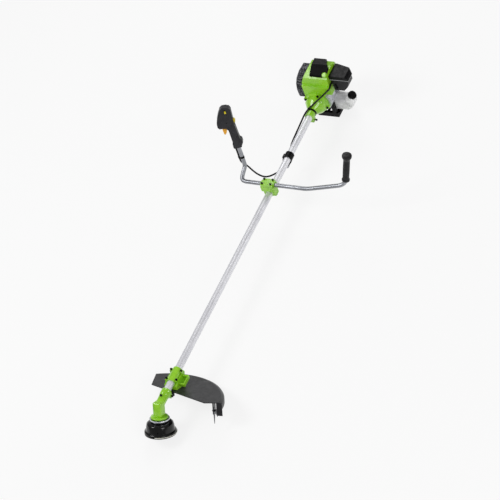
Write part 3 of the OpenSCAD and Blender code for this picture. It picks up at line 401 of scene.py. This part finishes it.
def milky_rubber():
    """Clear silicone of the primer bulb: soft, amber-tinted and translucent."""
    material, tree, bsdf = new_material("silicone", ior=1.41, subsurface_weight=0.5, subsurface_scale=0.004)
    finish_surface(tree, bsdf, object_place(tree), ("#b8a97f", "#cfc29b"), (0.2, 0.35), 1.0, 0.005, 10)
    return material


# One finish for each material slot of the CAD record
FINISHES = {
    "green_alloy": green_enamel(),
    "shroud_plastic": green_abs(),
    "black_nylon": polished_nylon(),
    "guard_plastic": moulded_plastic(
        "guard_polypropylene", ("#1c1c1e", "#262629"), (0.3, 0.42), 1.2, gloss=0.3),
    "grip_plastic": moulded_plastic("grip_nylon", ("#29292c", "#343437"), (0.36, 0.5)),
    "cover_plastic": moulded_plastic("cover_nylon", ("#040405", "#0a0a0c"), (0.3, 0.44), gloss=0.1),
    "base_plastic": moulded_plastic("base_nylon", ("#141416", "#1e1e21"), (0.36, 0.52)),
    "spool_nylon": moulded_plastic("spool_nylon", ("#b3b3b0", "#c6c6c2"), (0.4, 0.55)),
    "cutting_nylon": waxy_plastic("line_nylon", ("#dcd9cc", "#ebe8dd")),
    "grip_rubber": soft_rubber(),
    "cable_sheath": moulded_plastic("cable_pvc", ("#101012", "#19191b"), (0.35, 0.5), 0.8, 0.01),
    "tube_aluminium": drawn_aluminium(
        "anodised_tube", ("#e0e0e5", "#eaeaee"), (0.46, 0.56), (0.01, 1, 1), 0.6),
    "bar_aluminium": drawn_aluminium("anodised_bar", ("#8d8f94", "#a1a3a8"), (0.36, 0.46), (1, 0.01, 1)),
    "zinc_plate": bright_zinc(),
    "bearing_steel": machined_steel("bearing_steel", ("#9a9ca0", "#b6b8bc"), (0.15, 0.28)),
    "gear_steel": machined_steel("gear_steel", ("#6d6f73", "#87898d")),
    "drum_iron": machined_steel("drum_iron", ("#5b5c5e", "#6f7073"), (0.35, 0.5)),
    "friction_lining": moulded_plastic("sintered_lining", ("#4d463d", "#60574c"), (0.6, 0.8), 0.7, 0.05),
    "cast_aluminium": blasted_aluminium(),
    "screw_steel": blued_screws(),
    "knife_steel": spring_steel(),
    "orange_plastic": waxy_plastic("trigger_abs", ("#f0a824", "#f7b938")),
    "yellow_plastic": waxy_plastic("switch_abs", ("#e8cf1e", "#f2da33")),
    "tank_plastic": natural_polyethylene(),
    "muffler_steel": sooty_steel(),
    "filter_foam": open_foam(),
    "ceramic": glazed_ceramic(),
    "bush_bronze": sintered_bronze(),
    "lever_brass": sintered_bronze(),
    "primer_rubber": milky_rubber(),
}


# Two covers whose finish differs from that of their slot; both finishes carry painted light
OWN_FINISH = {
    "muffler_cover": honeycomb_nylon(),
    "filter_cover": nylon_with_edge_highlight("lid_nylon", ("#050506", "#0c0c0e"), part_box("filter_cover")[0].z),
}


EDGE_MM = 0.6
WELD_DISTANCE = 0.00001
EDGE_ANGLE = math.radians(40)


def dress(node, slot):
    """Gives a CAD part its finish and softens its edges, as moulding and casting do."""
    part = nodes[node]
    finish = OWN_FINISH.get(node, FINISHES[slot])
    if not part.material_slots:
        part.data.materials.append(finish)
    for holder in part.material_slots:
        holder.material = finish
    weld = part.modifiers.new("weld", "WELD")
    weld.merge_threshold = WELD_DISTANCE
    bevel = part.modifiers.new("edges", "BEVEL")
    bevel.width = EDGE_MM * MM
    bevel.segments = 2
    bevel.limit_method = "ANGLE"
    bevel.angle_limit = EDGE_ANGLE
    normals = part.modifiers.new("normals", "WEIGHTED_NORMAL")
    normals.keep_sharp = True


slots = {row["node"]: row["material_slot"] for row in frame["record"]["subparts"]}
for node in nodes:
    dress(node, slots[node])


# ---- Shapes ----
def new_piece(name, shape, body, slot, replaces, sharp=35):
    """A finished mesh as a piece that rides on a body and stands for the named CAD parts;
    edges sharper than that many degrees stay crisp."""
    bmesh.ops.recalc_face_normals(shape, faces=shape.faces)
    mesh = bpy.data.meshes.new(name)
    shape.to_mesh(mesh)
    shape.free()
    for face in mesh.polygons:
        face.use_smooth = True
    mesh.set_sharp_from_angle(angle=math.radians(sharp))
    mesh.materials.append(FINISHES[slot])
    piece = bpy.data.objects.new(name, mesh)
    bpy.context.scene.collection.objects.link(piece)
    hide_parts(*replaces)
    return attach(piece, body)


def lathe(shape, profile, place, steps=72):
    """Turns a profile of (radius, height) in mm round the frame's Z; a radius of 0 closes the end."""
    turns = [2 * math.pi * k / steps for k in range(steps)]
    rings = []
    for radius, height in profile:
        if radius == 0:
            rings.append([shape.verts.new(place @ Vector((0, 0, height * MM)))])
        else:
            points = [Vector((radius * math.cos(a), radius * math.sin(a), height)) * MM for a in turns]
            rings.append([shape.verts.new(place @ point) for point in points])
    for low, high in zip(rings, rings[1:]):
        for k in range(steps):
            j = (k + 1) % steps
            corners = [low[k % len(low)], low[j % len(low)], high[j % len(high)], high[k % len(high)]]
            unique = list(dict.fromkeys(corners))
            if len(unique) > 2:
                shape.faces.new(unique)
    return shape


LONGEST_CUT = 0.49


def rounded(points, radius=25, steps=6):
    """The route with each corner eased into a short curve, still in mm."""
    points = [Vector(p) for p in points]
    route = [points[0]]
    for before, here, after in zip(points, points[1:], points[2:]):
        cut = min(radius, LONGEST_CUT * (here - before).length, LONGEST_CUT * (after - here).length)
        start = here + (before - here).normalized() * cut
        end = here + (after - here).normalized() * cut
        for k in range(steps + 1):
            t = k / steps
            route.append(start * (1 - t) ** 2 + here * 2 * t * (1 - t) + end * t * t)
    route.append(points[-1])
    return route


def drawn(shape, route, radius, sides):
    """A round bar or cord along a route in mm; the rings are carried along without twist."""
    side = (route[1] - route[0]).orthogonal().normalized()
    turns = [2 * math.pi * j / sides for j in range(sides)]
    rings = []
    for k, point in enumerate(route):
        ahead = (route[min(k + 1, len(route) - 1)] - route[max(k - 1, 0)]).normalized()
        side = (side - ahead * side.dot(ahead)).normalized()
        other = ahead.cross(side)
        rims = [point + (side * math.cos(a) + other * math.sin(a)) * radius for a in turns]
        rings.append([shape.verts.new(at(*rim)) for rim in rims])
    for low, high in zip(rings, rings[1:]):
        for k in range(sides):
            shape.faces.new([low[k], low[(k + 1) % sides], high[(k + 1) % sides], high[k]])
    shape.faces.new(rings[0])
    shape.faces.new(rings[-1])
    return shape


# ---- Handlebar, grip and cable ----
BAR_X, BAR_HEIGHT, BAR_RADIUS = 1082, 38, 8.45
LEFT_BASE, LEFT_DIR = Vector((1112, -343, 84)), Vector((0.17, -0.24, 0.956))
RIGHT_BEND, RIGHT_DIR = Vector((1137, 119, 74)), Vector((0.253, 0.136, 0.958))


def make_handlebar():
    """Bent tube, from inside the plain grip down through the clamp and up inside the throttle grip."""
    left_arm = [LEFT_BASE + 119 * LEFT_DIR, LEFT_BASE + 2 * LEFT_DIR, (1109, -334, 68), (1101, -318, 62)]
    middle = [(1084, -185, 40), (BAR_X, -165, BAR_HEIGHT), (BAR_X, 105, BAR_HEIGHT), (1086, 119, 40)]
    right_arm = [(1098, 123, 47), (1131, 119, 68), RIGHT_BEND + 4 * RIGHT_DIR, RIGHT_BEND + 147 * RIGHT_DIR]
    tube = drawn(bmesh.new(), rounded(left_arm + middle + right_arm), BAR_RADIUS, 32)
    new_piece("handlebar_tube", tube, "frame", "bar_aluminium", ["handlebar"])


def make_plain_grip():
    """Rubber grip with a stop flange at each end and fine rings between them."""
    length = 132
    ring_pitch = 4.6
    first_ring, last_ring = 16, length - 30
    profile = [(8.6, 0.2), (14.8, 0.2), (15.8, 1.2), (16, 3)]
    profile += [(16, 6.5), (15.2, 8.4), (14.2, 10.5), (13.6, 13)]
    z = first_ring
    while z < last_ring:
        body = 13 + 0.5 * math.sin(math.pi * (z - first_ring) / (last_ring - first_ring))
        profile += [(body, z), (body + 0.1, z + 0.6), (body + 0.1, z + 2.9), (body, z + 3.3)]
        profile += [(body - 0.7, z + 3.7), (body - 0.7, z + 4.3)]
        z += ring_pitch
    profile += [(13.2, z), (14.2, length - 22), (16, length - 17.5), (18.4, length - 13.6)]
    profile += [(19.2, length - 11), (19.5, length - 7), (19.3, length - 3.5)]
    profile += [(18.4, length - 1), (16.8, length - 0.1)]
    profile += [(6, length - 0.1), (4.5, length - 1.6), (0, length - 1.6)]
    sleeve = lathe(bmesh.new(), profile, along(LEFT_BASE, LEFT_DIR))
    new_piece("plain_grip_sleeve", sleeve, "frame", "grip_rubber", ["plain_grip"])


CABLE_RADIUS = 3.45
CABLE_BEND = 12
# From the throttle grip, in a loop over the shaft, along it and up to the carburettor
CABLE = [
    (1155.5, 143.5, 152), (1147, 138.3, 118), (1142.5, 136, 101), (1141, 134, 86), (1145, 127, 71),
    (1147.5, 115, 55), (1144.4, 101, 38), (1143.2, 83, 18), (1147, 66, 3), (1153, 54, -4.5),
    (1163.5, 43, -9.5), (1178, 34, -14), (1197, 24, -19.5), (1217, 12, -23.5), (1240, 1, -25.5),
    (1268, -4, -26.5), (1295, 8, -22), (1330, 20, -6), (1370, 20, 0), (1410, 19, 5), (1450, 17, 12),
    (1475, 15, 18), (1495, 12, 21), (1513, 7, 23.3), (1532, -12, 33.5), (1546, -28, 44), (1558, -44, 54),
    (1565, -60, 68), (1568, -72, 79), (1573, -81, 86), (1586, -81.5, 91), (1599, -80.2, 92.5),
    (1615, -80, 93), (1634, -77, 92)]


def make_cable():
    """Throttle cable and stop wires in one PVC sheath."""
    sheath = drawn(bmesh.new(), rounded(CABLE, CABLE_BEND, 4), CABLE_RADIUS, 16)
    new_piece("throttle_cable_sheath", sheath, "frame", "cable_sheath", ["throttle_cable"])


# ---- Tank and gearbox ----
def pillow(shape, frame_matrix, low, high, radius, draw_in=0.0):
    """A box between two corners in mm, its edges rounded and its lower -Y edge drawn in.
    Gives its faces."""
    corners = bmesh.ops.create_cube(shape, size=1.0)["verts"]
    for corner in corners:
        place = [low[k] if corner.co[k] < 0 else high[k] for k in range(3)]
        if corner.co.y < 0 and corner.co.z < 0:
            place[1] += draw_in
        corner.co = frame_matrix @ (Vector(place) * MM)
    # dict.fromkeys drops repeats and keeps the order
    edges = list(dict.fromkeys(edge for corner in corners for edge in corner.link_edges))
    faces = list(dict.fromkeys(face for corner in corners for face in corner.link_faces))
    rounding = bmesh.ops.bevel(shape, geom=corners + edges, offset=radius * MM, segments=6, profile=0.5,
                               affect="EDGES", clamp_overlap=True)
    return [face for face in faces if face.is_valid] + list(rounding["faces"])


def make_tank():
    """Blow-moulded tank: soft swellings that run together, and a plain neck under the cap."""
    shape = bmesh.new()
    shaft = Matrix.Translation(APEX)
    # The body, the shoulder under the filler neck, and the swelling towards the starter
    pillow(shape, shaft, (1632.6, -122, -105.4), (1687.4, 59, -52.6), 17, 22)
    pillow(shape, shaft, (1634, -122, -84), (1686, -84, -34.5), 12, 4)
    pillow(shape, shaft, (1676, -96, -105.2), (1715, 48, -69), 13, 16)
    lathe(shape, [(0, -9), (13.8, -9), (13.8, 9), (0, 9)], along((1659, -106, -42), (0, -0.7, 0.7)))
    new_piece("tank_shell", shape, "frame", "tank_plastic", ["fuel_tank"], 60)


FACING_WEIGHT = 8
GEARBOX_FLANGE = [(12, -44), (32.2, -44), (33, -43.2), (33, -39.6), (32.2, -38.8), (26, -38), (0, -38)]
TUBE_COLLAR = [(0, 2), (17.2, 2), (17.6, 40), (18.4, 48.6), (19.5, 50), (19.5, 72.8), (18.7, 73.8),
               (14.2, 73.8), (14.2, 58), (0, 58)]


def make_gearbox():
    """Die-cast gearbox: a rounded box round the bevel gears with a sunk panel in front, the flange
    under it, the tube's collar and its two clamp ears."""
    shape = bmesh.new()
    head = head_frame(0)
    lathe(shape, GEARBOX_FLANGE, head)
    walls = pillow(shape, head, (-18.6, -18, -41), (18.6, 18, 19.4), 7.5)
    shape.normal_update()
    forward = head.to_3x3() @ Vector((-1, 0, 0))
    front = [face for face in walls if (face.calc_center_median() - head.translation).dot(forward) > 0]
    # The weight picks the large face that looks straight forward, not one of the rounded edge
    panel = max(front, key=lambda face: face.calc_area() * abs(face.normal.dot(forward)) ** FACING_WEIGHT)
    bmesh.ops.recalc_face_normals(shape, faces=shape.faces)
    bmesh.ops.inset_region(shape, faces=[panel], thickness=2.2 * MM, depth=-2.4 * MM)
    lathe(shape, TUBE_COLLAR, along((0, 0, 0), (1, 0, 0)))
    shaft = Matrix.Translation(APEX)
    for low_y, high_y in ((-16, -1), (1, 16)):
        pillow(shape, shaft, (60, low_y, -28), (74, high_y, -12), 1.6)
    new_piece("gearbox_casting", shape, "frame", "green_alloy", ["gearbox_housing"], 50)


make_gearbox()
make_handlebar()
make_plain_grip()
make_cable()
make_tank()


# ---- Floor and light ----
FLOOR_HALF = 14
FLOOR_DROP = 0.0005
FLOOR_GLOW = 0.82
SKY_SEEN, SKY_LIGHT = 0.68, 0.32
SOFTBOXES = [
    ("key_softbox", (-1.6, 2.2, 3.2), 1.5, 72),
    ("fill_softbox", (-2.2, -2.9, 2.0), 1.6, 46),
    ("rim_softbox", (2.6, 1.0, 2.2), 1.6, 30),
    ("strip_softbox", (1.7, -2.5, 0.75), 0.6, 12),
]


def either(tree, first, second):
    """1 where either of two light-path answers is 1."""
    return add(tree, "Math", {0: first, 1: second}, operation="MAXIMUM").outputs[0]


def make_floor(low, centre):
    """Studio paper whose glow only the camera and reflections see, so it shows almost evenly white."""
    mesh = bpy.data.meshes.new("floor")
    shape = bmesh.new()
    bmesh.ops.create_grid(shape, x_segments=1, y_segments=1, size=FLOOR_HALF)
    shape.to_mesh(mesh)
    shape.free()
    floor = bpy.data.objects.new("floor", mesh)
    floor.location = (centre.x, centre.y, low.z - FLOOR_DROP)
    bpy.context.scene.collection.objects.link(floor)
    material = bpy.data.materials.new("floor_paper")
    material.use_nodes = True
    tree = material.node_tree
    output = tree.nodes["Material Output"]
    bsdf = tree.nodes["Principled BSDF"]
    bsdf.inputs["Base Color"].default_value = grey(0.8)
    bsdf.inputs["Roughness"].default_value = 0.9
    path = add(tree, "LightPath").outputs
    seen = either(tree, path["Is Camera Ray"], path["Is Glossy Ray"])
    seen = either(tree, seen, path["Is Transmission Ray"])
    weight = add(tree, "Math", {0: seen, 1: FLOOR_GLOW}, operation="MULTIPLY").outputs[0]
    glow = add(tree, "Emission", {"Color": grey(1), "Strength": 1.0}).outputs["Emission"]
    mix = add(tree, "MixShader", {0: weight, 1: bsdf.outputs["BSDF"], 2: glow})
    tree.links.new(mix.outputs["Shader"], output.inputs["Surface"])
    mesh.materials.append(material)


def make_sky():
    """A white room: at full brightness to the camera, and dimmer as a light."""
    world = bpy.data.worlds.new("studio")
    bpy.context.scene.world = world
    world.use_nodes = True
    tree = world.node_tree
    background = tree.nodes["Background"]
    path = add(tree, "LightPath").outputs
    seen = either(tree, path["Is Camera Ray"], path["Is Transmission Ray"])
    strength = add(tree, "Math", {0: seen, 1: SKY_SEEN, 2: SKY_LIGHT}, operation="MULTIPLY_ADD")
    background.inputs["Color"].default_value = grey(1)
    tree.links.new(strength.outputs[0], background.inputs["Strength"])


def place_softboxes(centre):
    """Square lights round the trimmer, each turned towards its middle."""
    for name, place, size, power in SOFTBOXES:
        light = bpy.data.lights.new(name, "AREA")
        light.size = size
        light.energy = power
        lamp = bpy.data.objects.new(name, light)
        lamp.location = centre + Vector(place)
        lamp.rotation_euler = (centre - lamp.location).to_track_quat("-Z", "Y").to_euler()
        bpy.context.scene.collection.objects.link(lamp)


box_low, box_high = cad_box
middle = (box_low + box_high) / 2
make_floor(box_low, middle)
make_sky()
place_softboxes(middle)
bpy.context.scene.view_settings.view_transform = "Standard"
